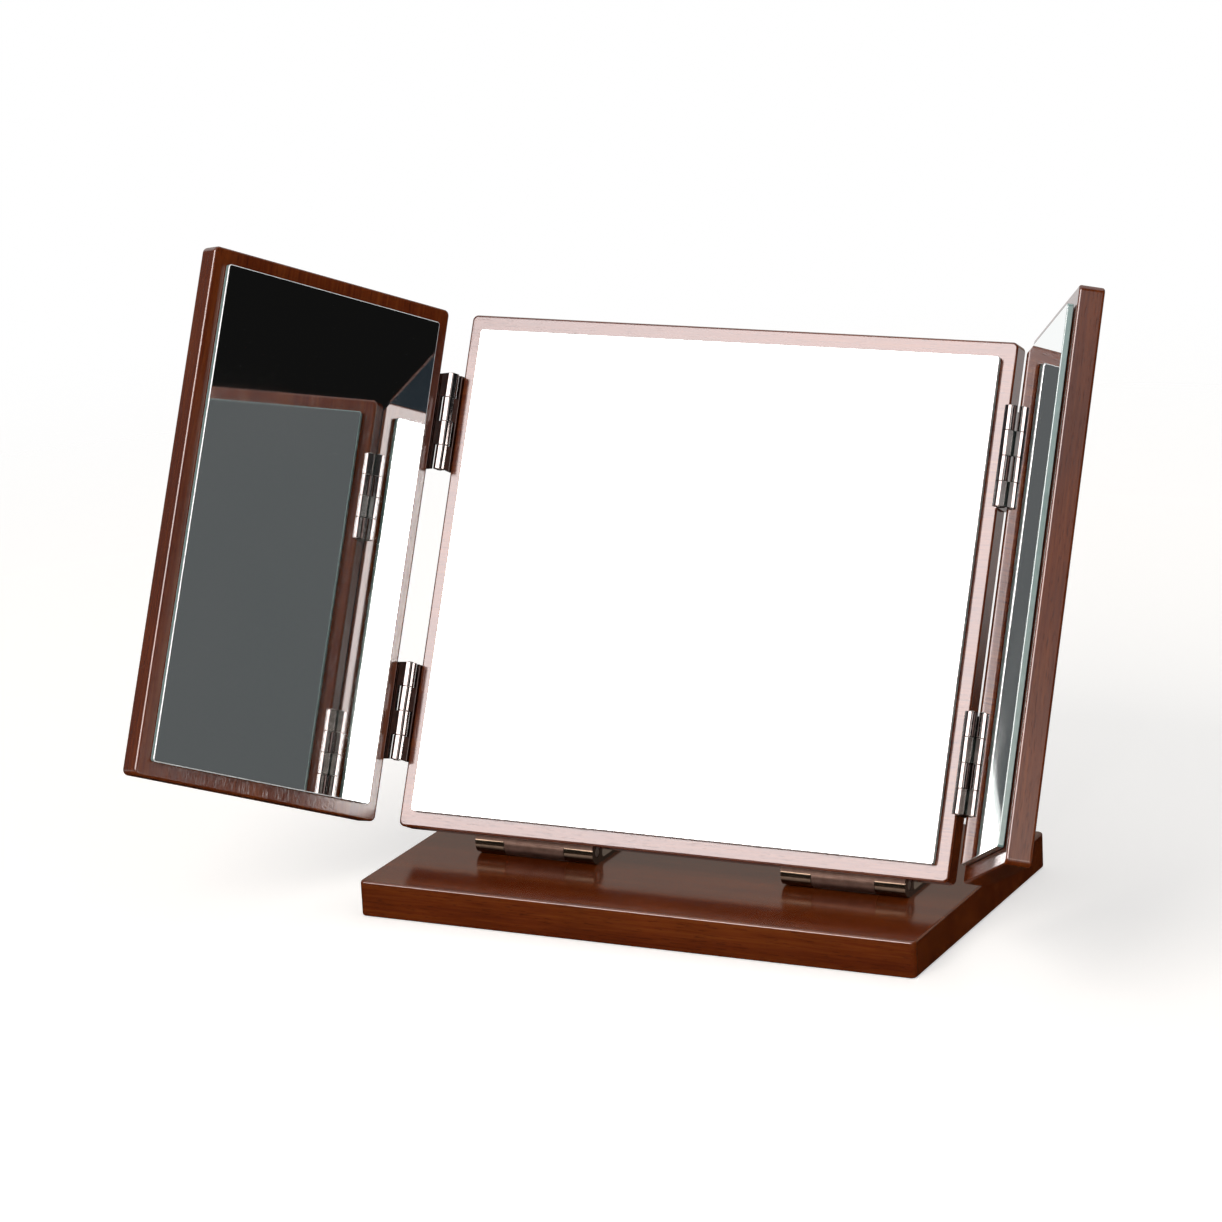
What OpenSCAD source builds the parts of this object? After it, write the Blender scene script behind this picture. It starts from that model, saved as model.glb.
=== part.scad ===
// Trifold vanity mirror: a leaning centre panel on a flat base, with two wings hinged to its sides.
// The origin is the centre of the base's underside. +X is to the viewer's right, +Y points to the back.
// Left and right are as seen from the front. Every piece is drawn where it sits in the photographed pose.

/* [Base] */
// Width of the base board
base_w = 300; // [280:5:340]
// Depth of the base board, front to back
base_d = 176; // [150:1:200]
// Thickness of the base board
base_t = 18.5; // [16:0.5:24]

/* [Panels] */
// Width of the centre panel
panel_w = 300; // [270:5:330]
// Height of all three panels
panel_h = 267; // [220:1:320]
// Thickness of the centre panel
panel_t = 12; // [12:0.5:15]
// Width of each wing
wing_w = 145.5; // [120:0.5:146]
// Thickness of each wing
wing_t = 12; // [10:0.5:13]
// Radius of the boards' corners
corner_r = 3; // [2:0.5:6]
// Radius of the boards' eased edges
ease_r = 1.2; // [0.6:0.2:1.8]

/* [Mirror glass] */
// Thickness of the mirror plates
glass_t = 3; // [2:0.5:3]
// Thickness of the mounting tape
tape_t = 0.5; // [0.3:0.1:0.8]
// Wood left bare beside the glass
side_margin = 7.5; // [5:0.5:15]
// Wood left bare above and below the glass
end_margin = 8; // [5:0.5:15]
// Radius of the glass corners
glass_corner_r = 1.5; // [1:0.5:4]
// Radius of the polished glass edge
glass_ease_r = 0.5; // [0.2:0.1:0.6]
// Width of one strip of tape
tape_w = 19; // [10:1:25]

/* [Pose] */
// How far the centre panel leans back from upright
lean = 25; // [0:1:60]
// How far the left wing is swung forward from flat
left_swing = 62.5; // [0:0.5:170]
// How far the right wing is swung forward from flat
right_swing = 62.4; // [0:0.1:170]

/* [Side hinges] */
// Length of a side hinge
side_len = 50; // [40:1:60]
// Diameter of the side hinge barrel
side_barrel_d = 6.4; // [6:0.2:7]
// Thickness of a side hinge leaf
side_leaf_t = 1.4; // [1.2:0.1:1.6]
// How far the hinge pin stands in front of the wood
pin_forward = 6.2; // [6:0.1:8]
// How far a leaf reaches back along the board's edge
side_leaf_d = 10.2; // [9:0.1:10.5]
// From the panel's top or bottom edge to the nearest hinge end
side_inset = 33; // [20:1:60]

/* [Tilt hinges] */
// Length of a tilt hinge
tilt_len = 66; // [60:1:80]
// Length of each outer knuckle, which belongs to the base leaf
outer_knuckle = 16; // [12:0.5:18]
// Diameter of the tilt hinge barrel
tilt_barrel_d = 11.6; // [10:0.2:12]
// Thickness of a tilt hinge leaf
tilt_leaf_t = 2; // [1.8:0.1:2.5]
// How far a tilt hinge leaf reaches from its shaft
tilt_leaf_reach = 30; // [28:1:40]
// Diameter of the tilt hinge shaft
shaft_d = 5; // [4:0.5:5]
// Wall of the friction bush round the shaft
bush_wall = 1.1; // [0.8:0.1:1.2]
// Distance between the middles of the two tilt hinges
tilt_spacing = 169; // [120:1:200]
// How far the pair of tilt hinges sits to the right of the middle
tilt_shift = 6; // [-8:0.5:8]
// From the base's front edge back to the tilt hinge shaft
shaft_setback = 60.2; // [45:0.1:80]
// Height of the centre panel's lower edge above the shaft, along the panel
panel_rise = 1.5; // [1.5:0.1:8]

/* [Screws] */
// Shank diameter of the side hinge screws
side_screw_d = 2.5; // [2:0.1:3]
// Length of the side hinge screws
side_screw_len = 12; // [8:1:16]
// Shank diameter of the tilt hinge screws
tilt_screw_d = 3.5; // [3:0.1:4]
// Length of the tilt hinge screws that go into the base
base_screw_len = 14; // [8:1:16]
// Length of the tilt hinge screws that go into the centre panel
panel_screw_len = 10; // [8:1:11]

/* [Hidden] */
$fn = 64;
sides = [-1, 1];
rows = ["upper", "lower"];
side_names = ["left", "right"];
function side_name(side) = side < 0 ? side_names[0] : side_names[1];

NODES = concat(
    ["base_board", "centre_board", "centre_tape", "centre_mirror"],
    [for (s = side_names, piece = ["board", "tape", "mirror"]) str(s, "_", piece)],
    [for (s = side_names, row = rows,
          piece = ["centre_leaf", "centre_screws", "wing_leaf", "wing_screws", "pin"])
        str(s, "_", row, "_", piece)],
    [for (s = side_names,
          piece = ["base_leaf", "base_screws", "panel_leaf", "panel_screws", "shaft", "bush"])
        str(s, "_tilt_", piece)]
);
node = "all";

// Gap between knuckles that turn past each other, along the pin
knuckle_gap = 0.3;
// Gap round a knuckle to the leaf that it turns past
scoop_gap = 0.4;
// Radial clearance of a running fit
running_gap = 0.05;
// Radial clearance of a screw in its hole
screw_gap = 0.05;

// Side hinges: four equal knuckles, two on each leaf, rolled round the pin
side_r = side_barrel_d / 2;
pin_r = side_r - side_leaf_t;
side_knuckle = (side_len - 3 * knuckle_gap) / 4;
side_knuckle_pitch = side_knuckle + knuckle_gap;
side_leaf_reach = pin_forward + side_leaf_d;
side_screw_pitch = side_len * 0.36;
side_screw_y = pin_forward + side_leaf_d * 0.53;
pin_head_h = 0.5;
side_axis_x = panel_w / 2 + side_r;
row_z = [panel_h - side_inset - side_len / 2, side_inset + side_len / 2];

// Tilt hinges: three knuckles, with the middle one on the panel's leaf
tilt_r = tilt_barrel_d / 2;
shaft_r = shaft_d / 2;
bush_r = shaft_r + bush_wall;
middle_knuckle = tilt_len - 2 * (outer_knuckle + knuckle_gap);
// The shaft stands this far off the wood, so that a knuckle turns clear of it
shaft_off = tilt_r + scoop_gap;
shaft_y = shaft_setback - base_d / 2;
shaft_z = base_t + shaft_off;
tilt_fillet_r = 2;
tilt_screw_x = tilt_len * 0.34;
tilt_screw_reach = [tilt_leaf_reach * 0.42, tilt_leaf_reach * 0.8];
leaf_corner_r = 3;

// Colours
wood = [0.42, 0.19, 0.1];
mirror_glass = [0.86, 0.9, 0.91];
tape_grey = [0.16, 0.16, 0.17];
polished_steel = [0.8, 0.8, 0.79];
screw_steel = [0.68, 0.67, 0.65];
bush_nylon = [0.9, 0.88, 0.82];

function shown(name) = node == "all" || node == name;
function wing_swing(side) = side < 0 ? left_swing : right_swing;

// ---- Places ----

// The frame of the tilt shaft, turned with the centre panel: +Z runs up the panel, +Y out of its back
module on_tilt() {
    translate([0, shaft_y, shaft_z]) rotate([-lean, 0, 0]) children();
}

// The frame of the centre panel: the origin is the middle of its front lower edge
module on_panel() {
    on_tilt() translate([0, -shaft_off - panel_t, panel_rise]) children();
}

// The frame of a side hinge's pin axis, at the panel's lower edge, fixed to the centre panel
module on_pin_axis(side) {
    on_panel() translate([side * side_axis_x, -pin_forward, 0]) children();
}

// The same axis, turned with the wing
module on_wing_axis(side) {
    on_pin_axis(side) rotate([0, 0, -side * wing_swing(side)]) children();
}

// The frame of a wing: the origin is the middle of its front lower edge
module on_wing(side) {
    on_wing_axis(side) translate([side * (side_r + wing_w / 2), pin_forward, 0]) children();
}

// The two leaves of a side hinge are one shape. Turned over, the right leaf is the left one.
module turned_leaf(hand) {
    rotate([0, hand > 0 ? 0 : 180, 0]) children();
}

module side_screw_places() {
    for (z = [-1:1])
        translate([pin_r, side_screw_y, z * side_screw_pitch]) rotate([0, 90, 0]) children();
}

// The middle of a tilt hinge along the shaft
module at_tilt_hinge(side) {
    translate([tilt_shift + side * tilt_spacing / 2, 0, 0]) children();
}

// Screws through the base leaf point down, with their heads on the leaf
module base_screw_places() {
    for (x = [-1, 1], reach = tilt_screw_reach)
        translate([x * tilt_screw_x, reach, tilt_leaf_t - shaft_off]) rotate([180, 0, 0]) children();
}

// Screws through the panel leaf point forward, into the panel's back
module panel_screw_places() {
    for (x = [-1, 1], reach = tilt_screw_reach)
        translate([x * tilt_screw_x, tilt_leaf_t - shaft_off, reach]) rotate([90, 0, 0]) children();
}

// ---- Shared shapes ----

// Cross section of a slab, with its four corners eased
module slab_section(width, t, ease) {
    translate([ease - width / 2, 0]) square([width - 2 * ease, t]);
    translate([-width / 2, ease]) square([width, t - 2 * ease]);
    for (x = [-1, 1], y = [ease, t - ease])
        translate([x * (width / 2 - ease), y]) circle(ease);
}

// Half of the section of a slab's round corner, to be revolved
module corner_section(corner, t, ease) {
    square([corner - ease, t]);
    translate([0, ease]) square([corner, t - 2 * ease]);
    for (y = [ease, t - ease])
        translate([corner - ease, y]) circle(ease);
}

// A flat slab with round corners and eased edges, centred on X, from y = 0 and z = 0
module slab(w, h, t, corner, ease) {
    translate([0, h - corner, 0]) rotate([90, 0, 0])
        linear_extrude(h - 2 * corner) slab_section(w, t, ease);
    translate([corner - w / 2, h / 2, 0]) rotate([90, 0, 90])
        linear_extrude(w - 2 * corner) slab_section(h, t, ease);
    for (x = [-1, 1], y = [corner, h - corner])
        translate([x * (w / 2 - corner), y, 0]) rotate_extrude() corner_section(corner, t, ease);
}

// The same slab on its lower edge, with its front face at y = 0 and its thickness going back
module upright_slab(w, h, t, corner, ease) {
    translate([0, t, 0]) rotate([90, 0, 0]) slab(w, h, t, corner, ease);
}

// Upright strips of tape, spread evenly behind a plate of the given size
module tape_strips(w, h, count) {
    pitch = (w - tape_w) / (count - 1);
    for (i = [0:count - 1])
        translate([i * pitch - w / 2, -tape_t, (panel_h - h) / 2]) cube([tape_w, tape_t, h]);
}

// A countersunk screw along +Z, with the face of its head at z = 0
module screw(d, len) {
    r = d / 2;
    head_r = head_radius(d);
    recess_w = d * 0.28;
    recess_d = r * 0.55;
    difference() {
        union() {
            cylinder(h = head_r - r, r1 = head_r, r2 = r);
            cylinder(h = len - d, r = r);
            translate([0, 0, len - d]) cylinder(h = d, r1 = r, r2 = r * 0.15);
        }
        for (turn = [0, 90])
            rotate([0, 0, turn]) translate([-r, -recess_w / 2, -1]) cube([d, recess_w, recess_d + 1]);
    }
}

function head_radius(d) = d * 0.95;

// The hole that such a screw fits, from its countersink down
module screw_hole(d, len) {
    r = d / 2 + screw_gap;
    head_r = head_radius(d) + screw_gap;
    translate([0, 0, -1]) cylinder(h = 1, r = head_r);
    cylinder(h = head_r - r, r1 = head_r, r2 = r);
    cylinder(h = len + 0.5, r = r);
}

// ---- Side hinge ----

// The lower end of a knuckle, counted from the bottom, with the hinge's middle at z = 0
function side_knuckle_z(k) = k * side_knuckle_pitch - side_len / 2;

// The flat of a side leaf, with its two far corners rounded
module side_plate() {
    r = 1.5;
    rotate([0, 90, 0]) linear_extrude(side_leaf_t) {
        translate([-side_len / 2, 0]) square([side_len, side_leaf_reach - r]);
        translate([r - side_len / 2, 0]) square([side_len - 2 * r, side_leaf_reach]);
        for (x = [-1, 1])
            translate([x * (side_len / 2 - r), side_leaf_reach - r]) circle(r);
    }
}

// The right leaf of a side hinge, with the pin axis at x = 0 and y = 0. It has the first and third
// knuckles from the bottom, square notches for the other leaf's knuckles, and a seam where the
// strip's rolled end comes back to the flat of the leaf.
module side_leaf(bore_r) {
    seam = 0.2;
    notch = side_r + scoop_gap;
    difference() {
        union() {
            translate([pin_r, 0, 0]) side_plate();
            for (k = [0, 2])
                translate([0, 0, side_knuckle_z(k)]) cylinder(h = side_knuckle, r = side_r);
        }
        for (k = [1, 3])
            translate([-notch, -notch, side_knuckle_z(k) - knuckle_gap])
                cube([2 * notch, 2 * notch, side_knuckle + 2 * knuckle_gap]);
        translate([0, 0, -side_len / 2 - 1]) cylinder(h = side_len + 2, r = bore_r);
        translate([pin_r - seam, 0, -side_len / 2 - 1]) cube([seam, side_r, side_len + 2]);
        side_screw_places() screw_hole(side_screw_d, side_leaf_t);
    }
}

// The pin, a little longer than the barrel, with its ends chamfered
module side_pin() {
    chamfer = 0.4;
    half = side_len / 2 + pin_head_h;
    translate([0, 0, chamfer - half]) cylinder(h = 2 * (half - chamfer), r = pin_r);
    for (turn = [0, 180])
        rotate([turn, 0, 0]) translate([0, 0, half - chamfer])
            cylinder(h = chamfer, r1 = pin_r, r2 = pin_r - chamfer);
}

// Holes in a board's edge for the screws of its side hinges
module side_pilot_holes(hand) {
    for (z = row_z)
        translate([0, 0, z]) turned_leaf(hand) side_screw_places()
            screw_hole(side_screw_d, side_screw_len);
}

// ---- Tilt hinge ----

// Section of a tilt leaf: x runs along the leaf away from the shaft, y up from the wood to the shaft
module tilt_plate_section() {
    translate([0, -shaft_off]) square([tilt_leaf_reach, tilt_leaf_t]);
}

// Where a knuckle joins its leaf, the corner between them is filled with a concave round
module tilt_knuckle_section() {
    drop = shaft_off - tilt_leaf_t - tilt_fillet_r;
    run = sqrt(pow(tilt_r + tilt_fillet_r, 2) - pow(drop, 2));
    circle(tilt_r);
    difference() {
        polygon([[0, 0], [0, -shaft_off], [run, -shaft_off], [run, -drop]]);
        translate([run, -drop]) circle(tilt_fillet_r);
    }
}

// Rounds off the two far corners of a leaf, seen square on
module leaf_outline() {
    r = leaf_corner_r;
    translate([-tilt_len / 2, -2 * tilt_r]) square([tilt_len, tilt_leaf_reach + 2 * tilt_r - r]);
    translate([r - tilt_len / 2, 0]) square([tilt_len - 2 * r, tilt_leaf_reach]);
    for (x = [-1, 1])
        translate([x * (tilt_len / 2 - r), tilt_leaf_reach - r]) circle(r);
}

// A tilt leaf as it lies on the base: the shaft runs along X through the origin, the leaf goes to +Y.
// knuckles and others are [start, length] along X: its own, and those of the leaf that it turns past.
module tilt_leaf(knuckles, others, bore_r) {
    difference() {
        intersection() {
            union() {
                translate([-tilt_len / 2, 0, 0]) rotate([90, 0, 90])
                    linear_extrude(tilt_len) tilt_plate_section();
                for (k = knuckles)
                    translate([k[0], 0, 0]) rotate([90, 0, 90])
                        linear_extrude(k[1]) tilt_knuckle_section();
            }
            translate([0, 0, -2 * tilt_r]) linear_extrude(4 * tilt_r) leaf_outline();
        }
        for (k = others)
            translate([k[0] - knuckle_gap, 0, 0]) rotate([0, 90, 0])
                cylinder(h = k[1] + 2 * knuckle_gap, r = tilt_r + scoop_gap);
        translate([-tilt_len, 0, 0]) rotate([0, 90, 0]) cylinder(h = 2 * tilt_len, r = bore_r);
        base_screw_places() screw_hole(tilt_screw_d, tilt_leaf_t);
    }
}

outer_knuckles = [[-tilt_len / 2, outer_knuckle], [tilt_len / 2 - outer_knuckle, outer_knuckle]];
middle_knuckles = [[-middle_knuckle / 2, middle_knuckle]];

// ---- Pieces on the base ----

module base_board() {
    color(wood) difference() {
        translate([0, -base_d / 2, 0]) slab(base_w, base_d, base_t, corner_r, ease_r);
        translate([0, shaft_y, shaft_z]) for (side = sides)
            at_tilt_hinge(side) base_screw_places() screw_hole(tilt_screw_d, base_screw_len);
    }
}

module tilt_base_leaf(side) {
    color(polished_steel) translate([0, shaft_y, shaft_z]) at_tilt_hinge(side)
        tilt_leaf(outer_knuckles, middle_knuckles, shaft_r);
}

module tilt_base_screws(side) {
    color(screw_steel) translate([0, shaft_y, shaft_z]) at_tilt_hinge(side)
        base_screw_places() screw(tilt_screw_d, base_screw_len);
}

// Pressed into the outer knuckles, with its ends chamfered
module tilt_shaft(side) {
    chamfer = 0.4;
    color(screw_steel) translate([0, shaft_y, shaft_z]) at_tilt_hinge(side) rotate([0, 90, 0]) {
        translate([0, 0, chamfer - tilt_len / 2]) cylinder(h = tilt_len - 2 * chamfer, r = shaft_r);
        for (turn = [0, 180])
            rotate([turn, 0, 0]) translate([0, 0, tilt_len / 2 - chamfer])
                cylinder(h = chamfer, r1 = shaft_r, r2 = shaft_r - chamfer);
    }
}

// ---- Pieces on the centre panel ----

module centre_board() {
    color(wood) difference() {
        on_panel() upright_slab(panel_w, panel_h, panel_t, corner_r, ease_r);
        for (side = sides) {
            on_pin_axis(side) side_pilot_holes(-side);
            on_tilt() at_tilt_hinge(side) panel_screw_places() screw_hole(tilt_screw_d, panel_screw_len);
        }
    }
}

module centre_tape() {
    inset = 6;
    color(tape_grey) on_panel() tape_strips(
        panel_w - 2 * (side_margin + inset), panel_h - 2 * (end_margin + inset), 5);
}

module centre_mirror() {
    color(mirror_glass) on_panel() translate([0, -tape_t - glass_t, end_margin])
        upright_slab(panel_w - 2 * side_margin, panel_h - 2 * end_margin, glass_t,
            glass_corner_r, glass_ease_r);
}

module centre_leaf(side, z) {
    color(polished_steel) on_pin_axis(side) translate([0, 0, z])
        turned_leaf(-side) side_leaf(pin_r);
}

module centre_screws(side, z) {
    color(screw_steel) on_pin_axis(side) translate([0, 0, z])
        turned_leaf(-side) side_screw_places() screw(side_screw_d, side_screw_len);
}

// Pressed into the centre leaf's knuckles. The wing leaf turns on it.
module hinge_pin(side, z) {
    color(screw_steel) on_pin_axis(side) translate([0, 0, z]) side_pin();
}

// The leaf of the base, turned up onto the panel's back, with the middle knuckle
module tilt_panel_leaf(side) {
    color(polished_steel) on_tilt() at_tilt_hinge(side) mirror([0, 1, -1])
        tilt_leaf(middle_knuckles, outer_knuckles, bush_r);
}

module tilt_panel_screws(side) {
    color(screw_steel) on_tilt() at_tilt_hinge(side)
        panel_screw_places() screw(tilt_screw_d, panel_screw_len);
}

// A split sleeve, pressed into the middle knuckle, that grips the shaft
module tilt_bush(side) {
    slit = 0.8;
    color(bush_nylon) on_tilt() at_tilt_hinge(side) rotate([0, 90, 0]) difference() {
        cylinder(h = middle_knuckle, r = bush_r, center = true);
        cylinder(h = middle_knuckle + 2, r = shaft_r + running_gap, center = true);
        translate([-slit / 2, 0, -middle_knuckle]) cube([slit, bush_r + 1, 2 * middle_knuckle]);
    }
}

// ---- Pieces on the wings ----

module wing_board(side) {
    color(wood) difference() {
        on_wing(side) upright_slab(wing_w, panel_h, wing_t, corner_r, ease_r);
        on_wing_axis(side) side_pilot_holes(side);
    }
}

module wing_tape(side) {
    inset = 6;
    color(tape_grey) on_wing(side) tape_strips(
        wing_w - 2 * (side_margin + inset), panel_h - 2 * (end_margin + inset), 3);
}

module wing_mirror(side) {
    color(mirror_glass) on_wing(side) translate([0, -tape_t - glass_t, end_margin])
        upright_slab(wing_w - 2 * side_margin, panel_h - 2 * end_margin, glass_t,
            glass_corner_r, glass_ease_r);
}

module wing_leaf(side, z) {
    color(polished_steel) on_wing_axis(side) translate([0, 0, z])
        turned_leaf(side) side_leaf(pin_r + running_gap);
}

module wing_screws(side, z) {
    color(screw_steel) on_wing_axis(side) translate([0, 0, z])
        turned_leaf(side) side_screw_places() screw(side_screw_d, side_screw_len);
}

// ---- Assembly ----

if (shown("base_board")) base_board();
if (shown("centre_board")) centre_board();
if (shown("centre_tape")) centre_tape();
if (shown("centre_mirror")) centre_mirror();

for (side = sides) {
    if (shown(str(side_name(side), "_board"))) wing_board(side);
    if (shown(str(side_name(side), "_tape"))) wing_tape(side);
    if (shown(str(side_name(side), "_mirror"))) wing_mirror(side);
}

for (side = sides, i = [0, 1]) {
    hinge = str(side_name(side), "_", rows[i]);
    if (shown(str(hinge, "_centre_leaf"))) centre_leaf(side, row_z[i]);
    if (shown(str(hinge, "_centre_screws"))) centre_screws(side, row_z[i]);
    if (shown(str(hinge, "_wing_leaf"))) wing_leaf(side, row_z[i]);
    if (shown(str(hinge, "_wing_screws"))) wing_screws(side, row_z[i]);
    if (shown(str(hinge, "_pin"))) hinge_pin(side, row_z[i]);
}

for (side = sides) {
    hinge = str(side_name(side), "_tilt");
    if (shown(str(hinge, "_base_leaf"))) tilt_base_leaf(side);
    if (shown(str(hinge, "_base_screws"))) tilt_base_screws(side);
    if (shown(str(hinge, "_panel_leaf"))) tilt_panel_leaf(side);
    if (shown(str(hinge, "_panel_screws"))) tilt_panel_screws(side);
    if (shown(str(hinge, "_shaft"))) tilt_shaft(side);
    if (shown(str(hinge, "_bush"))) tilt_bush(side);
}
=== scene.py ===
import math
import bpy
from mathutils import Euler, Matrix, Vector

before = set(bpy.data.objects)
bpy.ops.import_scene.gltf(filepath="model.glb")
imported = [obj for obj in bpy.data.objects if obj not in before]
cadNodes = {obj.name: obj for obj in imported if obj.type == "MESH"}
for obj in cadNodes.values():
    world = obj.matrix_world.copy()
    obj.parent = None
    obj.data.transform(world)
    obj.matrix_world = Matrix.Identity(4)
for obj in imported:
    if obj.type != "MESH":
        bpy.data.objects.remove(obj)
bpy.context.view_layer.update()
bpy.ops.object.select_all(action="DESELECT")
print("frame loaded,", len(cadNodes), "nodes")


# small helpers for colours and node trees

def linearColour(hexText):
    shown = [int(hexText[i:i + 2], 16) / 255 for i in (1, 3, 5)]
    linear = [c / 12.92 if c <= 0.04045 else ((c + 0.055) / 1.055) ** 2.4 for c in shown]
    return (*linear, 1.0)


def addNode(tree, kind, settings=None, links=None, stops=None):
    # settings are the node's own properties or values of its inputs, and stops the colours of a ramp
    node = tree.nodes.new(kind)
    for name, value in (settings or {}).items():
        if isinstance(name, str) and hasattr(node, name):
            setattr(node, name, value)
        else:
            node.inputs[name].default_value = value
    for name, source in (links or {}).items():
        tree.links.new(source, node.inputs[name])
    if stops:
        ramp = node.color_ramp
        while len(ramp.elements) < len(stops):
            ramp.elements.new(0.5)
        for element, (place, hexText) in zip(ramp.elements, stops):
            element.position = place
            element.color = linearColour(hexText)
    return node


def newMaterial(name):
    material = bpy.data.materials.new(name)
    material.use_nodes = True
    material.node_tree.nodes.clear()
    return material, material.node_tree


def closeMaterial(tree, shader):
    addNode(tree, "ShaderNodeOutputMaterial", {}, {"Surface": shader.outputs[0]})


# camera: a long lens from the front right, a little above

cameraLook = {
    "lens": 135.1945,           # mm
    "sensor": 36,               # mm across
    "nearest": 0.05,            # metres, what the camera can see
    "furthest": 60,
    "azimuth": 26.338,          # degrees round from the front
    "pitch": 15.321,            # degrees downwards
    "roll": -2.846,
    "target": (-0.001286, -0.088, 0.170263),
    "distance": 2.19817,        # metres
}


def placeCamera(look):
    azimuth = math.radians(look["azimuth"])
    pitch = math.radians(look["pitch"])
    roll = math.radians(look["roll"])
    ahead = Vector((-math.sin(azimuth), math.cos(azimuth), 0))
    forward = ahead * math.cos(pitch) - Vector((0, 0, math.sin(pitch)))
    level = Vector((math.cos(azimuth), math.sin(azimuth), 0))
    above = level.cross(forward)
    right = level * math.cos(roll) + above * math.sin(roll)
    up = above * math.cos(roll) - level * math.sin(roll)
    place = Vector(look["target"]) - forward * look["distance"]
    data = bpy.data.cameras.new("camera")
    data.lens = look["lens"]
    data.sensor_width = look["sensor"]
    data.clip_start = look["nearest"]
    data.clip_end = look["furthest"]
    camera = bpy.data.objects.new("camera", data)
    bpy.context.scene.collection.objects.link(camera)
    turn = Matrix((right, up, -forward)).transposed().to_4x4()
    camera.matrix_world = Matrix.Translation(place) @ turn
    bpy.context.scene.camera = camera


placeCamera(cameraLook)
print("camera placed")


# floor, lamps and what the glass and metal reflect

studioLook = {
    "ambient": 0.42,            # sky level for matt surfaces
    "floorSize": 24,            # metres
    "floorDrop": 0.0002,        # metres below the base
    "floorColour": "#E9E7E4",
    "floorGlow": 0.46,          # lifts the floor to white for the camera
    "floorFade": (0.55, 1.5),   # metres out, where the floor turns into the white behind it
    "aim": (0.0, -0.06, 0.15),  # what lamps and cards face
}
lampLook = {
    # name: azimuth from the front, elevation, distance, size, power, colour
    "keyLamp": (-6, 36, 2.6, 1.3, 34, "#FFF8F2"),
    "rightFill": (78, 18, 2.4, 1.2, 1.6, "#FBFCFF"),
    "backFill": (170, 50, 3.0, 1.6, 10, "#FFFFFF"),
}
cardLook = {
    # upright cards, seen only in reflections
    # name: azimuths from the front, elevations, distance, level, colour at the foot, colour at the top
    "softbox": ((-38, 17), (20, 52), 5.0, 10.2, "#FFF4F3", "#FFF4F3"),
    "lowSoftbox": ((17.2, 46), (6, 30), 4.6, 4.6, "#FFF5EE", "#3E3A38"),
    "leftFlag": ((-100, -38.2), (-6, 46), 5.0, 1.0, "#5E5F60", "#646466"),
    "rightFlag": ((91, 139.8), (-14, 58), 3.0, 1.0, "#0F0E0D", "#1A1B1C"),
    "rightDark": ((46.2, 79), (-6, 40), 3.0, 1.0, "#2E2D2B", "#3A3938"),
    "rightHigh": ((46.5, 91), (40.5, 72), 3.0, 1.0, "#1C2024", "#24292E"),
    "rightGap": ((79.2, 90.8), (-6, 40), 3.0, 1.0, "#2A3036", "#22282E"),
    "frontFlag": ((-40, 17), (-9, 19.8), 4.6, 1.0, "#2A2622", "#3A3531"),
    "backFlag": ((140, 225), (-4, 36), 3.0, 1.0, "#A0948A", "#AEA39A"),
}
tableCardLook = {
    # keeps the pale floor out of what the wood and the metal reflect
    "size": 5,                  # metres
    "drop": 0.0001,             # metres below the base
    "colour": "#15100D",
    "fade": (0.4, 0.7),         # metres out, where it ends
}


def direction(azimuth, elevation):
    a = math.radians(azimuth)
    e = math.radians(elevation)
    return Vector((math.sin(a) * math.cos(e), -math.cos(a) * math.cos(e), math.sin(e)))


def fadeOutwards(tree, start, end):
    # 0 round the middle of the floor, 1 further out
    where = addNode(tree, "ShaderNodeTexCoord").outputs["Object"]
    outwards = addNode(tree, "ShaderNodeVectorMath", {"operation": "LENGTH"}, {0: where})
    fade = addNode(tree, "ShaderNodeMapRange",
                   {"interpolation_type": "SMOOTHSTEP", "From Min": start, "From Max": end},
                   {"Value": outwards.outputs["Value"]})
    return fade.outputs[0]


def addFloor(look):
    bpy.ops.mesh.primitive_plane_add(size=look["floorSize"], location=(0, 0, -look["floorDrop"]))
    floor = bpy.context.object
    floor.name = "floor"
    material, tree = newMaterial("paleStudioFloor")
    path = addNode(tree, "ShaderNodeLightPath")
    matt = addNode(tree, "ShaderNodeBsdfDiffuse", {"Color": linearColour(look["floorColour"])})
    clear = addNode(tree, "ShaderNodeBsdfTransparent")
    glow = addNode(tree, "ShaderNodeMath", {"operation": "MULTIPLY", 1: look["floorGlow"]},
                   {0: path.outputs["Is Camera Ray"]})
    lift = addNode(tree, "ShaderNodeEmission", {}, {"Strength": glow.outputs[0]})
    near = addNode(tree, "ShaderNodeAddShader", {}, {0: matt.outputs[0], 1: lift.outputs[0]})
    fade = fadeOutwards(tree, *look["floorFade"])
    closeMaterial(tree, addNode(tree, "ShaderNodeMixShader", {},
                                {0: fade, 1: near.outputs[0], 2: clear.outputs[0]}))
    floor.data.materials.append(material)


def addLamp(name, azimuth, elevation, distance, size, power, colour):
    data = bpy.data.lights.new(name, "AREA")
    data.shape = "SQUARE"
    data.size = size
    data.energy = power
    data.color = linearColour(colour)[:3]
    lamp = bpy.data.objects.new(name, data)
    bpy.context.scene.collection.objects.link(lamp)
    way = direction(azimuth, elevation)
    lamp.location = Vector(studioLook["aim"]) + way * distance
    lamp.rotation_euler = way.to_track_quat("Z", "Y").to_euler()
    lamp.visible_glossy = False
    lamp.visible_camera = False


def reflectionOnly(card):
    card.visible_camera = False
    card.visible_diffuse = False
    card.visible_shadow = False
    card.visible_transmission = False


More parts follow.
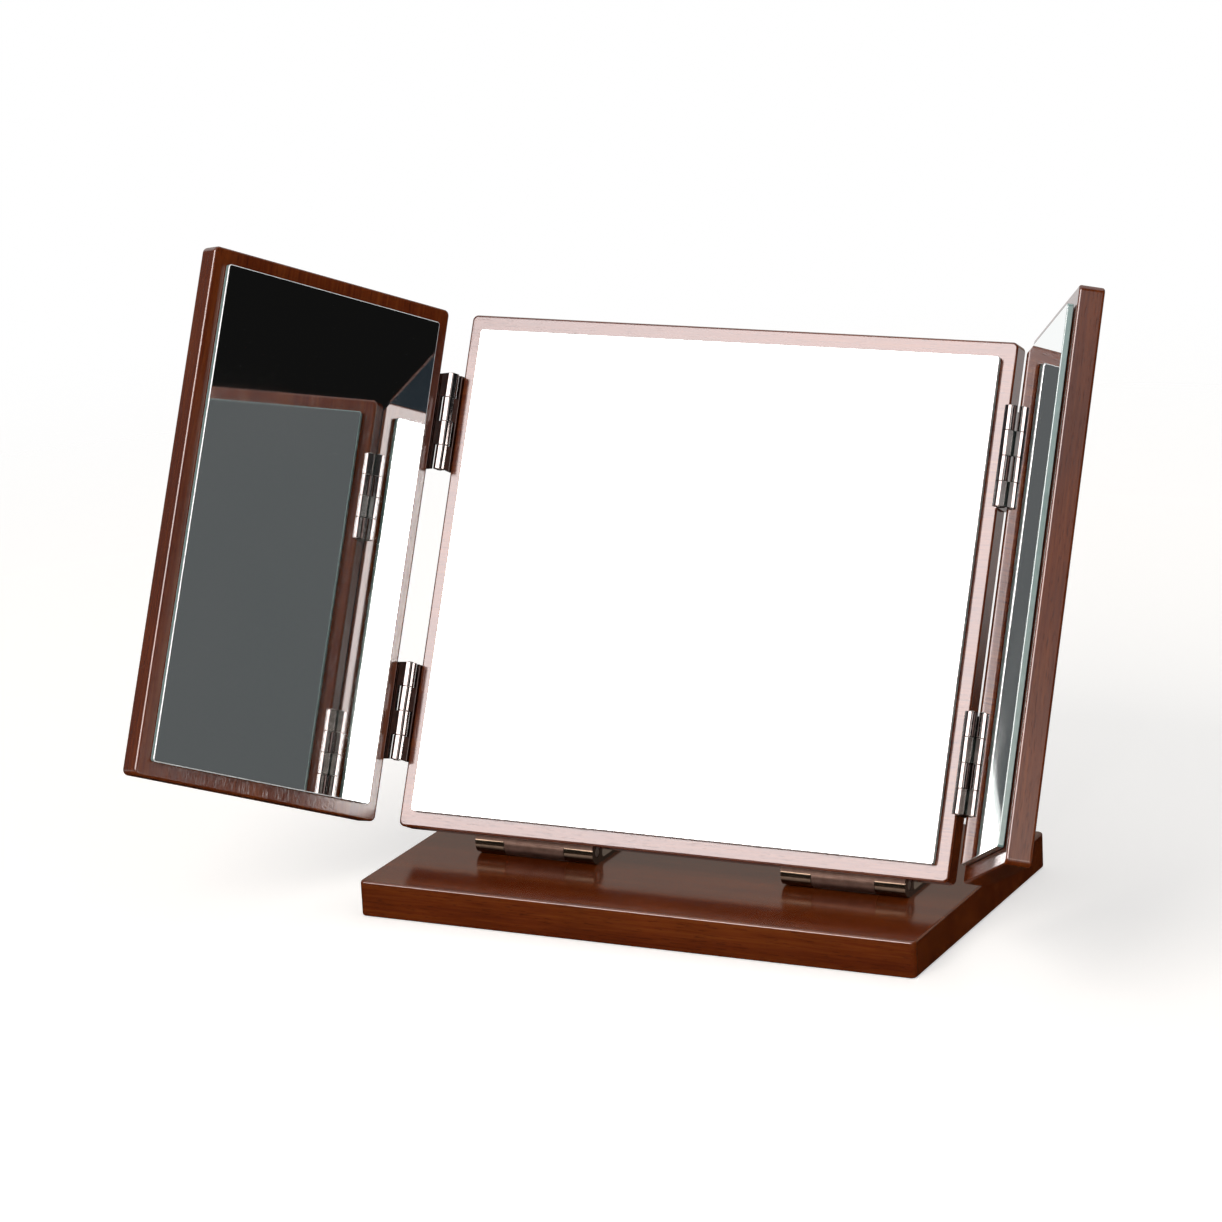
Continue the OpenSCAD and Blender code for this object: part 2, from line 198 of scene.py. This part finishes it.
def addCard(name, azimuths, elevations, distance, level, foot, top):
    middle = sum(azimuths) / 2
    way = direction(middle, 0)
    low = distance * math.tan(math.radians(elevations[0]))
    high = distance * math.tan(math.radians(elevations[1]))
    wide = 2 * distance * math.tan(math.radians((azimuths[1] - azimuths[0]) / 2))
    place = Vector(studioLook["aim"]) + way * distance + Vector((0, 0, (low + high) / 2))
    turn = (math.pi / 2, 0, math.radians(middle))
    bpy.ops.mesh.primitive_plane_add(size=1, location=place, rotation=turn)
    card = bpy.context.object
    card.name = name
    card.scale = (wide, high - low, 1)
    material, tree = newMaterial(name + "Cloth")
    where = addNode(tree, "ShaderNodeTexCoord").outputs["Object"]
    axes = addNode(tree, "ShaderNodeSeparateXYZ", {}, {0: where})
    rise = addNode(tree, "ShaderNodeMath", {"operation": "ADD", 1: 0.5}, {0: axes.outputs["Y"]})
    tint = addNode(tree, "ShaderNodeValToRGB", {}, {"Fac": rise.outputs[0]}, [(0, foot), (1, top)])
    glow = addNode(tree, "ShaderNodeEmission", {"Strength": level}, {"Color": tint.outputs["Color"]})
    closeMaterial(tree, glow)
    card.data.materials.append(material)
    reflectionOnly(card)


def addTableCard(look):
    bpy.ops.mesh.primitive_plane_add(size=look["size"], location=(0, 0, -look["drop"]))
    card = bpy.context.object
    card.name = "tableCard"
    material, tree = newMaterial("tableCardCloth")
    dark = addNode(tree, "ShaderNodeEmission", {"Color": linearColour(look["colour"])})
    clear = addNode(tree, "ShaderNodeBsdfTransparent")
    fade = fadeOutwards(tree, *look["fade"])
    closeMaterial(tree, addNode(tree, "ShaderNodeMixShader", {},
                                {0: fade, 1: dark.outputs[0], 2: clear.outputs[0]}))
    card.data.materials.append(material)
    reflectionOnly(card)


def addWorld(look):
    world = bpy.data.worlds.new("studio")
    world.use_nodes = True
    tree = world.node_tree
    tree.nodes.clear()
    path = addNode(tree, "ShaderNodeLightPath")
    seen = addNode(tree, "ShaderNodeMath", {"operation": "MAXIMUM"},
                   {0: path.outputs["Is Camera Ray"], 1: path.outputs["Is Glossy Ray"]})
    through = addNode(tree, "ShaderNodeMath", {"operation": "MAXIMUM"},
                      {0: seen.outputs[0], 1: path.outputs["Is Transmission Ray"]})
    level = addNode(tree, "ShaderNodeMapRange", {"To Min": look["ambient"], "To Max": 1.0},
                    {"Value": through.outputs[0]})
    sky = addNode(tree, "ShaderNodeBackground", {"Color": (1, 1, 1, 1)}, {"Strength": level.outputs[0]})
    addNode(tree, "ShaderNodeOutputWorld", {}, {"Surface": sky.outputs[0]})
    bpy.context.scene.world = world


addFloor(studioLook)
addWorld(studioLook)
for lampName, lampValues in lampLook.items():
    addLamp(lampName, *lampValues)
for cardName, cardValues in cardLook.items():
    addCard(cardName, *cardValues)
addTableCard(tableCardLook)
bpy.context.scene.view_settings.view_transform = "Standard"
print("stage and lamps set")


# where each board lies: turned back by these degrees, X is across, -Y is its face and Z is up it

leanAngle = 25.0
boardLook = {
    # the axis that the grain runs along, and a seed for its place in the figure
    "base": {"turn": (0, 0, 0), "grainAxis": 0, "seed": 3.1},
    "centre": {"turn": (leanAngle, 0, 0), "grainAxis": 0, "seed": 11.7},
    "left": {"turn": (leanAngle, 0, -62.5), "grainAxis": 2, "seed": 20.3},
    "right": {"turn": (leanAngle, 0, 62.4), "grainAxis": 2, "seed": 31.9},
}


def boardAngles(board):
    return [math.radians(a) for a in boardLook[board]["turn"]]


def boardSpin(board):
    return Euler(boardAngles(board), "XYZ").to_matrix()


def lowAndHigh(points):
    low = Vector([min(p[i] for p in points) for i in range(3)])
    high = Vector([max(p[i] for p in points) for i in range(3)])
    return low, high


# lacquered wood

woodLook = {
    "darkStreak": "#521D07",
    "ground": "#5F2709",
    "paleStreak": "#6F3410",
    "pore": "#3A1406",
    "wornEdge": "#743A18",
    "streakAcross": 11.0,       # mm, broad figure across and along the grain
    "streakAlong": 190.0,
    "fibreAcross": 1.3,
    "fibreAlong": 34.0,
    "fibreShare": 0.45,         # of the figure
    "poreAcross": 0.62,         # drawn wider than the real 0.2 mm, or it would not show
    "poreAlong": 6.5,
    "poreShade": 0.5,
    "poreDepth": 0.05,          # mm
    "cloudScale": 22.0,         # clouds of stain to the metre
    "cloudShade": (0.9, 1.1),
    "wearWidth": 1.3,           # mm in from the arris
    "wearShare": 0.6,
    "stainRoughness": (0.42, 0.56),
    "stainRelief": 0.6,
    "coatIor": 1.7,             # a high gloss lacquer, waxed
    "coatRoughness": 0.15,
    "coatRelief": 0.35,
}


def grainScale(axis, across, along):
    scale = [1000 / across] * 3
    scale[axis] = 1000 / along
    return scale


def lacqueredWood(board, look):
    # stained beech under a clear gloss lacquer: warm streaks, short dark pores, a soft wet shine
    spin = boardSpin(board)
    low, high = lowAndHigh([spin @ v.co for v in cadNodes[board + "_board"].data.vertices])
    seed = boardLook[board]["seed"]
    material, tree = newMaterial(board + "StainedBeech")
    where = addNode(tree, "ShaderNodeTexCoord").outputs["Object"]
    inBoard = addNode(tree, "ShaderNodeMapping",
                      {"Rotation": boardAngles(board), "Location": -(low + high) / 2},
                      {"Vector": where}).outputs[0]

    def grain(across, along, detail, place):
        scale = grainScale(boardLook[board]["grainAxis"], across, along)
        laid = addNode(tree, "ShaderNodeMapping",
                       {"Scale": scale, "Location": (place, place * 1.7, place * 0.6)},
                       {"Vector": inBoard})
        return addNode(tree, "ShaderNodeTexNoise",
                       {"Scale": 1.0, "Detail": detail, "Roughness": 0.55, "Distortion": 0.25},
                       {"Vector": laid.outputs[0]}).outputs["Fac"]

    figure = grain(look["streakAcross"], look["streakAlong"], 3.0, seed)
    fibre = grain(look["fibreAcross"], look["fibreAlong"], 4.0, seed + 5)
    pore = grain(look["poreAcross"], look["poreAlong"], 1.0, seed + 9)
    cloud = addNode(tree, "ShaderNodeTexNoise", {"Scale": look["cloudScale"], "Detail": 2.0},
                    {"Vector": inBoard}).outputs["Fac"]

    mixFigure = addNode(tree, "ShaderNodeMix", {"Factor": look["fibreShare"]}, {2: figure, 3: fibre})
    tint = addNode(tree, "ShaderNodeValToRGB", {}, {"Fac": mixFigure.outputs[0]},
                   [(0.36, look["darkStreak"]), (0.5, look["ground"]), (0.64, look["paleStreak"])])
    cloudLevel = addNode(tree, "ShaderNodeMapRange",
                         {"From Min": 0.3, "From Max": 0.7,
                          "To Min": look["cloudShade"][0], "To Max": look["cloudShade"][1]},
                         {"Value": cloud})
    clouded = addNode(tree, "ShaderNodeMix",
                      {"data_type": "RGBA", "blend_type": "MULTIPLY", "Factor": 1.0},
                      {6: tint.outputs["Color"], 7: cloudLevel.outputs[0]})
    poreMask = addNode(tree, "ShaderNodeMapRange",
                       {"From Min": 0.6, "From Max": 0.7, "To Min": 0.0, "To Max": look["poreShade"]},
                       {"Value": pore})
    pored = addNode(tree, "ShaderNodeMix",
                    {"data_type": "RGBA", 7: linearColour(look["pore"])},
                    {"Factor": poreMask.outputs[0], 6: clouded.outputs[2]})

    # rubbed arrises: how near a point is to two faces of the board at once
    apart = addNode(tree, "ShaderNodeVectorMath", {"operation": "ABSOLUTE"}, {0: inBoard})
    inwards = addNode(tree, "ShaderNodeVectorMath", {"operation": "SUBTRACT", 1: (high - low) / 2},
                      {0: apart.outputs[0]})
    sides = addNode(tree, "ShaderNodeSeparateXYZ", {}, {0: inwards.outputs[0]})
    pairs = []
    for first, second in (("X", "Y"), ("Y", "Z"), ("X", "Z")):
        pairs.append(addNode(tree, "ShaderNodeMath", {"operation": "MINIMUM"},
                             {0: sides.outputs[first], 1: sides.outputs[second]}))
    nearer = addNode(tree, "ShaderNodeMath", {"operation": "MAXIMUM"},
                     {0: pairs[0].outputs[0], 1: pairs[1].outputs[0]})
    arris = addNode(tree, "ShaderNodeMath", {"operation": "MAXIMUM"},
                    {0: nearer.outputs[0], 1: pairs[2].outputs[0]})
    wear = addNode(tree, "ShaderNodeMapRange",
                   {"From Min": -look["wearWidth"] / 1000, "From Max": 0.0,
                    "To Min": 0.0, "To Max": look["wearShare"]},
                   {"Value": arris.outputs[0]})
    wearPatch = addNode(tree, "ShaderNodeMapRange", {"From Min": 0.35, "From Max": 0.65},
                        {"Value": cloud})
    wearHere = addNode(tree, "ShaderNodeMath", {"operation": "MULTIPLY"},
                       {0: wear.outputs[0], 1: wearPatch.outputs[0]})
    colour = addNode(tree, "ShaderNodeMix",
                     {"data_type": "RGBA", 7: linearColour(look["wornEdge"])},
                     {"Factor": wearHere.outputs[0], 6: pored.outputs[2]})

    # the lacquer sinks a little into the pores and along the fibres
    hollow = addNode(tree, "ShaderNodeMath", {"operation": "MULTIPLY", 1: -1.0},
                     {0: poreMask.outputs[0]})
    relief = addNode(tree, "ShaderNodeMath", {"operation": "MULTIPLY_ADD", 1: 0.5},
                     {0: fibre, 2: hollow.outputs[0]})
    depth = look["poreDepth"] / 1000
    bump = addNode(tree, "ShaderNodeBump", {"Strength": look["stainRelief"], "Distance": depth},
                   {"Height": relief.outputs[0]})
    coatBump = addNode(tree, "ShaderNodeBump", {"Strength": look["coatRelief"], "Distance": depth},
                       {"Height": relief.outputs[0]})
    rough = addNode(tree, "ShaderNodeMapRange",
                    {"From Min": 0.3, "From Max": 0.7,
                     "To Min": look["stainRoughness"][0], "To Max": look["stainRoughness"][1]},
                    {"Value": fibre})
    shader = addNode(tree, "ShaderNodeBsdfPrincipled",
                     {"Specular IOR Level": 0.0, "Coat Weight": 1.0, "Coat IOR": look["coatIor"],
                      "Coat Roughness": look["coatRoughness"]},
                     {"Base Color": colour.outputs[2], "Roughness": rough.outputs[0],
                      "Normal": bump.outputs[0], "Coat Normal": coatBump.outputs[0]})
    closeMaterial(tree, shader)
    return material


for board in boardLook:
    mesh = cadNodes[board + "_board"].data
    mesh.materials.clear()
    mesh.materials.append(lacqueredWood(board, woodLook))
print("boards finished")


# mirror glass: silvered plate seen from the front, with polished edges and a seamed arris whose
# near-white colour is a painted highlight

glassLook = {
    "silver": ("#EEF3F2", "#F1F4F3"),
    "filmScale": 9.0,           # patches to the metre
    "haze": 0.035,
    "edge": "#7FA09E",
    # near white: a painted highlight along the seamed arris of the centre and left plates
    "arris": "#EEF4F6",
    "grindScale": 260.0,        # marks to the metre
    "grindDepth": 0.05,         # mm
    "ior": 1.52,
    "polishIor": 2.0,           # set high, for the light that the plate pipes to its edge
    "polishRoughness": 0.08,
    "backPaint": ("#43484B", "#4A4F52"),
    "sprayScale": 900.0,        # specks to the metre
    "sprayDepth": 0.03,         # mm
    "flat": 0.995,              # a face turned this squarely to the front or back is silver or paint
    "sideways": 0.05,           # one turned less than this is edge, and the rest is arris
}


def mirrorSilver(look):
    # float glass silvered behind: an even, slightly green mirror with faint roller waviness
    deep, pale = look["silver"]
    material, tree = newMaterial("silveredGlass")
    where = addNode(tree, "ShaderNodeTexCoord").outputs["Object"]
    film = addNode(tree, "ShaderNodeTexNoise", {"Scale": look["filmScale"], "Detail": 3.0},
                   {"Vector": where}).outputs["Fac"]
    haze = addNode(tree, "ShaderNodeMapRange",
                   {"From Min": 0.35, "From Max": 0.75, "To Min": 0.0, "To Max": look["haze"]},
                   {"Value": film})
    tint = addNode(tree, "ShaderNodeValToRGB", {}, {"Fac": film}, [(0.3, deep), (0.7, pale)])
    shader = addNode(tree, "ShaderNodeBsdfPrincipled", {"Metallic": 1.0},
                     {"Base Color": tint.outputs["Color"], "Roughness": haze.outputs[0]})
    closeMaterial(tree, shader)
    return material


def polishedGlassEdge(name, hexText, look):
    # the ground and polished edge of float glass: pale blue green, bright with the light in the plate;
    # the near-white arris copy is a painted highlight
    material, tree = newMaterial(name)
    where = addNode(tree, "ShaderNodeTexCoord").outputs["Object"]
    grind = addNode(tree, "ShaderNodeTexNoise", {"Scale": look["grindScale"], "Detail": 2.0},
                    {"Vector": where}).outputs["Fac"]
    level = addNode(tree, "ShaderNodeMapRange",
                    {"From Min": 0.3, "From Max": 0.7, "To Min": 0.9, "To Max": 1.08},
                    {"Value": grind})
    tint = addNode(tree, "ShaderNodeHueSaturation", {"Color": linearColour(hexText)},
                   {"Value": level.outputs[0]})
    bump = addNode(tree, "ShaderNodeBump", {"Strength": 0.2, "Distance": look["grindDepth"] / 1000},
                   {"Height": grind})
    rough = addNode(tree, "ShaderNodeMapRange", {"To Min": 0.12, "To Max": 0.26}, {"Value": grind})
    shader = addNode(tree, "ShaderNodeBsdfPrincipled",
                     {"IOR": look["ior"], "Coat Weight": 1.0, "Coat IOR": look["polishIor"],
                      "Coat Roughness": look["polishRoughness"]},
                     {"Base Color": tint.outputs[0], "Roughness": rough.outputs[0],
                      "Normal": bump.outputs[0]})
    closeMaterial(tree, shader)
    return material


def backPaint(look):
    # the grey protective paint over the silvering
    deep, pale = look["backPaint"]
    material, tree = newMaterial("mirrorBackPaint")
    where = addNode(tree, "ShaderNodeTexCoord").outputs["Object"]
    spray = addNode(tree, "ShaderNodeTexNoise", {"Scale": look["sprayScale"], "Detail": 2.0},
                    {"Vector": where}).outputs["Fac"]
    tint = addNode(tree, "ShaderNodeValToRGB", {}, {"Fac": spray}, [(0.3, deep), (0.7, pale)])
    bump = addNode(tree, "ShaderNodeBump", {"Strength": 0.3, "Distance": look["sprayDepth"] / 1000},
                   {"Height": spray})
    shader = addNode(tree, "ShaderNodeBsdfPrincipled", {"Roughness": 0.6},
                     {"Base Color": tint.outputs["Color"], "Normal": bump.outputs[0]})
    closeMaterial(tree, shader)
    return material


silver = mirrorSilver(glassLook)
edgeGlass = polishedGlassEdge("polishedGlassEdge", glassLook["edge"], glassLook)
arrisGlassPaintedHighlight = polishedGlassEdge("seamedGlassArrisPaintedHighlight", glassLook["arris"], glassLook)
paint = backPaint(glassLook)
for board in ("centre", "left", "right"):
    mesh = cadNodes[board + "_mirror"].data
    spin = boardSpin(board)
    mesh.materials.clear()
    for material in (silver, edgeGlass, arrisGlassPaintedHighlight, paint):
        mesh.materials.append(material)
    for face in mesh.polygons:
        facing = (spin @ face.normal).y
        if facing < -glassLook["flat"]:
            face.material_index = 0
        elif facing > glassLook["flat"]:
            face.material_index = 3
        # the arris faces of the centre and left plates get the painted highlight, and the right plate's
        # arris gets the edge colour
        elif abs(facing) < glassLook["sideways"] or board == "right":
            face.material_index = 1
        else:
            face.material_index = 2
print("mirror plates finished, the right one with a ground arris like its edge")


# metal and small parts

metalLook = {
    # two tones, two roughness levels, how deep the polishing lines are
    "platedSteel": ("#807A78", "#716B69", 0.06, 0.1, 0.03),
    "knuckleSteel": ("#857E7C", "#787170", 0.06, 0.1, 0.02),
    # the tilt hinges' leaves are darkened and browned: painted shade, for the shade under the centre
    # board
    "shadedTiltSteel": ("#66594B", "#5A4E42", 0.12, 0.18, 0.04),
    "shadedSatinSteel": ("#6E5A50", "#624F46", 0.42, 0.5, 0.12),
    "screwSteel": ("#B5B0A9", "#A19C95", 0.2, 0.32, 0.1),
    "pinSteel": ("#A9A59F", "#928D87", 0.25, 0.4, 0.1),
}
metalGrain = {
    "lineSpacing": 0.35,        # mm between the polishing lines
    "lineLength": 6,            # mm
    "tarnishScale": 240.0,      # patches to the metre
    "knuckleRadius": 3.35,      # mm from the pin's axis, what counts as a knuckle
    "knucklePitch": 12.575,     # mm from joint to joint
    "jointLine": 0.42,          # mm, half the width of the painted shade line in a joint, wider than the modelled gap
    "jointShadeColour": "#0C0A09",
}
softLook = {
    # two tones, pits to the metre, roughness, depth of the pits in mm
    "greyFoamTape": ("#77737A", "#858189", 1500.0, 0.85, 0.1),
    "mouldedNylon": ("#CFCBC0", "#DAD6CC", 700.0, 0.45, 0.03),
}
upPanel = Vector((0, math.sin(math.radians(leanAngle)), math.cos(math.radians(leanAngle))))


def jointMask(tree, where, middle, look):
    # 1 in the joints between a side hinge's knuckles, 0 on them, counted along the pin; this is where
    # the painted shade goes
    pitch = look["knucklePitch"] / 1000
    line = look["jointLine"] / 1000 / pitch
    along = addNode(tree, "ShaderNodeVectorMath", {"operation": "DOT_PRODUCT", 1: upPanel}, {0: where})
    count = addNode(tree, "ShaderNodeMath",
                    {"operation": "MULTIPLY_ADD", 1: 1 / pitch, 2: 0.5 - middle / pitch},
                    {0: along.outputs["Value"]})
    part = addNode(tree, "ShaderNodeMath", {"operation": "FRACT"}, {0: count.outputs[0]})
    shifted = addNode(tree, "ShaderNodeMath", {"operation": "SUBTRACT", 1: 0.5}, {0: part.outputs[0]})
    apart = addNode(tree, "ShaderNodeMath", {"operation": "ABSOLUTE"}, {0: shifted.outputs[0]})
    return addNode(tree, "ShaderNodeMapRange",
                   {"interpolation_type": "SMOOTHSTEP", "From Min": 0.4 * line, "From Max": line,
                    "To Min": 1.0, "To Max": 0.0},
                   {"Value": apart.outputs[0]})


def platedSteel(name, values, look, middle=None):
    # nickel plated steel strip, barrel polished: bright, with fine lines and a little tarnish in
    # patches; the tilt hinges' copies are darkened and browned as painted shade
    pale, deep, smoothest, roughest, lineDepth = values
    across = 1000 / look["lineSpacing"]
    material, tree = newMaterial(name)
    where = addNode(tree, "ShaderNodeTexCoord").outputs["Object"]
    laid = addNode(tree, "ShaderNodeMapping", {"Scale": (1000 / look["lineLength"], across, across)},
                   {"Vector": where})
    lines = addNode(tree, "ShaderNodeTexNoise", {"Scale": 1.0, "Detail": 2.0},
                    {"Vector": laid.outputs[0]}).outputs["Fac"]
    patch = addNode(tree, "ShaderNodeTexNoise", {"Scale": look["tarnishScale"], "Detail": 3.0},
                    {"Vector": where}).outputs["Fac"]
    tint = addNode(tree, "ShaderNodeValToRGB", {}, {"Fac": patch}, [(0.35, deep), (0.6, pale)])
    both = addNode(tree, "ShaderNodeMix", {"Factor": 0.5}, {2: lines, 3: patch})
    rough = addNode(tree, "ShaderNodeMapRange",
                    {"From Min": 0.35, "From Max": 0.65, "To Min": smoothest, "To Max": roughest},
                    {"Value": both.outputs[0]})
    bump = addNode(tree, "ShaderNodeBump", {"Strength": lineDepth, "Distance": 0.00002},
                   {"Height": lines})
    colour = tint.outputs["Color"]
    # painted shade: a near-black line in each joint between knuckles
    if middle is not None:
        joint = jointMask(tree, where, middle, look)
        jointShaded = addNode(tree, "ShaderNodeMix",
                          {"data_type": "RGBA", 7: linearColour(look["jointShadeColour"])},
                          {"Factor": joint.outputs[0], 6: colour})
        colour = jointShaded.outputs[2]
    shader = addNode(tree, "ShaderNodeBsdfPrincipled", {"Metallic": 1.0},
                     {"Base Color": colour, "Roughness": rough.outputs[0], "Normal": bump.outputs[0]})
    closeMaterial(tree, shader)
    return material


def softPart(name, values):
    # foam tape and moulded nylon: a matt body with a fine even pitting
    deep, pale, pitScale, roughness, pitDepth = values
    material, tree = newMaterial(name)
    where = addNode(tree, "ShaderNodeTexCoord").outputs["Object"]
    pits = addNode(tree, "ShaderNodeTexNoise", {"Scale": pitScale, "Detail": 2.0},
                   {"Vector": where}).outputs["Fac"]
    tint = addNode(tree, "ShaderNodeValToRGB", {}, {"Fac": pits}, [(0.35, deep), (0.65, pale)])
    bump = addNode(tree, "ShaderNodeBump", {"Strength": 0.4, "Distance": pitDepth / 1000},
                   {"Height": pits})
    shader = addNode(tree, "ShaderNodeBsdfPrincipled", {"Roughness": roughness},
                     {"Base Color": tint.outputs["Color"], "Normal": bump.outputs[0]})
    closeMaterial(tree, shader)
    return material


def pinPlace(hinge):
    # a point on the pin's axis, halfway along the barrel
    low, high = lowAndHigh([v.co for v in cadNodes[hinge + "_pin"].data.vertices])
    return (low + high) / 2


metals = {}
for metalName in ("platedSteel", "shadedTiltSteel", "shadedSatinSteel", "screwSteel", "pinSteel"):
    metals[metalName] = platedSteel(metalName, metalLook[metalName], metalGrain)
for row in ("upper", "lower"):
    middle = pinPlace("left_" + row).dot(upPanel)
    metals[row] = platedSteel(row + "KnuckleSteel", metalLook["knuckleSteel"], metalGrain, middle)
finishes = {
    # by the end of the node's name
    "_centre_leaf": metals["platedSteel"],
    "_wing_leaf": metals["platedSteel"],
    "_base_leaf": metals["shadedTiltSteel"],
    "_panel_leaf": metals["shadedSatinSteel"],
    "_screws": metals["screwSteel"],
    "_pin": metals["pinSteel"],
    "_shaft": metals["pinSteel"],
    "_tape": softPart("greyFoamTape", softLook["greyFoamTape"]),
    "_bush": softPart("mouldedNylon", softLook["mouldedNylon"]),
}
for nodeName, node in cadNodes.items():
    for ending, finish in finishes.items():
        if nodeName.endswith(ending):
            node.data.materials.clear()
            node.data.materials.append(finish)

# the knuckles of the side hinges get dark lines in their joints: painted shade, wider than the modelled
# gaps
for side in ("left", "right"):
    for row in ("upper", "lower"):
        hinge = side + "_" + row
        place = pinPlace(hinge)
        for leaf in ("_centre_leaf", "_wing_leaf"):
            mesh = cadNodes[hinge + leaf].data
            mesh.materials.append(metals[row])
            for face in mesh.polygons:
                out = face.center - place
                out -= upPanel * out.dot(upPanel)
                face.material_index = 1 if out.length < metalGrain["knuckleRadius"] / 1000 else 0
print("metal and small parts finished")


# smooth the rounded edges: weld the loose triangles, split at the sharp edges, keep the flats flat

roundLook = {
    "weldDistance": 0.000005,   # metres
    "sharpAngle": 32,           # degrees
    "evenWeight": 100,          # large faces decide
}


def smoothRounds(node, look):
    for face in node.data.polygons:
        face.use_smooth = True
    weld = node.modifiers.new("weld", "WELD")
    weld.merge_threshold = look["weldDistance"]
    split = node.modifiers.new("split", "EDGE_SPLIT")
    split.split_angle = math.radians(look["sharpAngle"])
    even = node.modifiers.new("even", "WEIGHTED_NORMAL")
    even.mode = "FACE_AREA"
    even.weight = look["evenWeight"]
    even.keep_sharp = True


for node in cadNodes.values():
    if not node.name.endswith("_mirror"):
        smoothRounds(node, roundLook)
print("rounded edges smoothed")
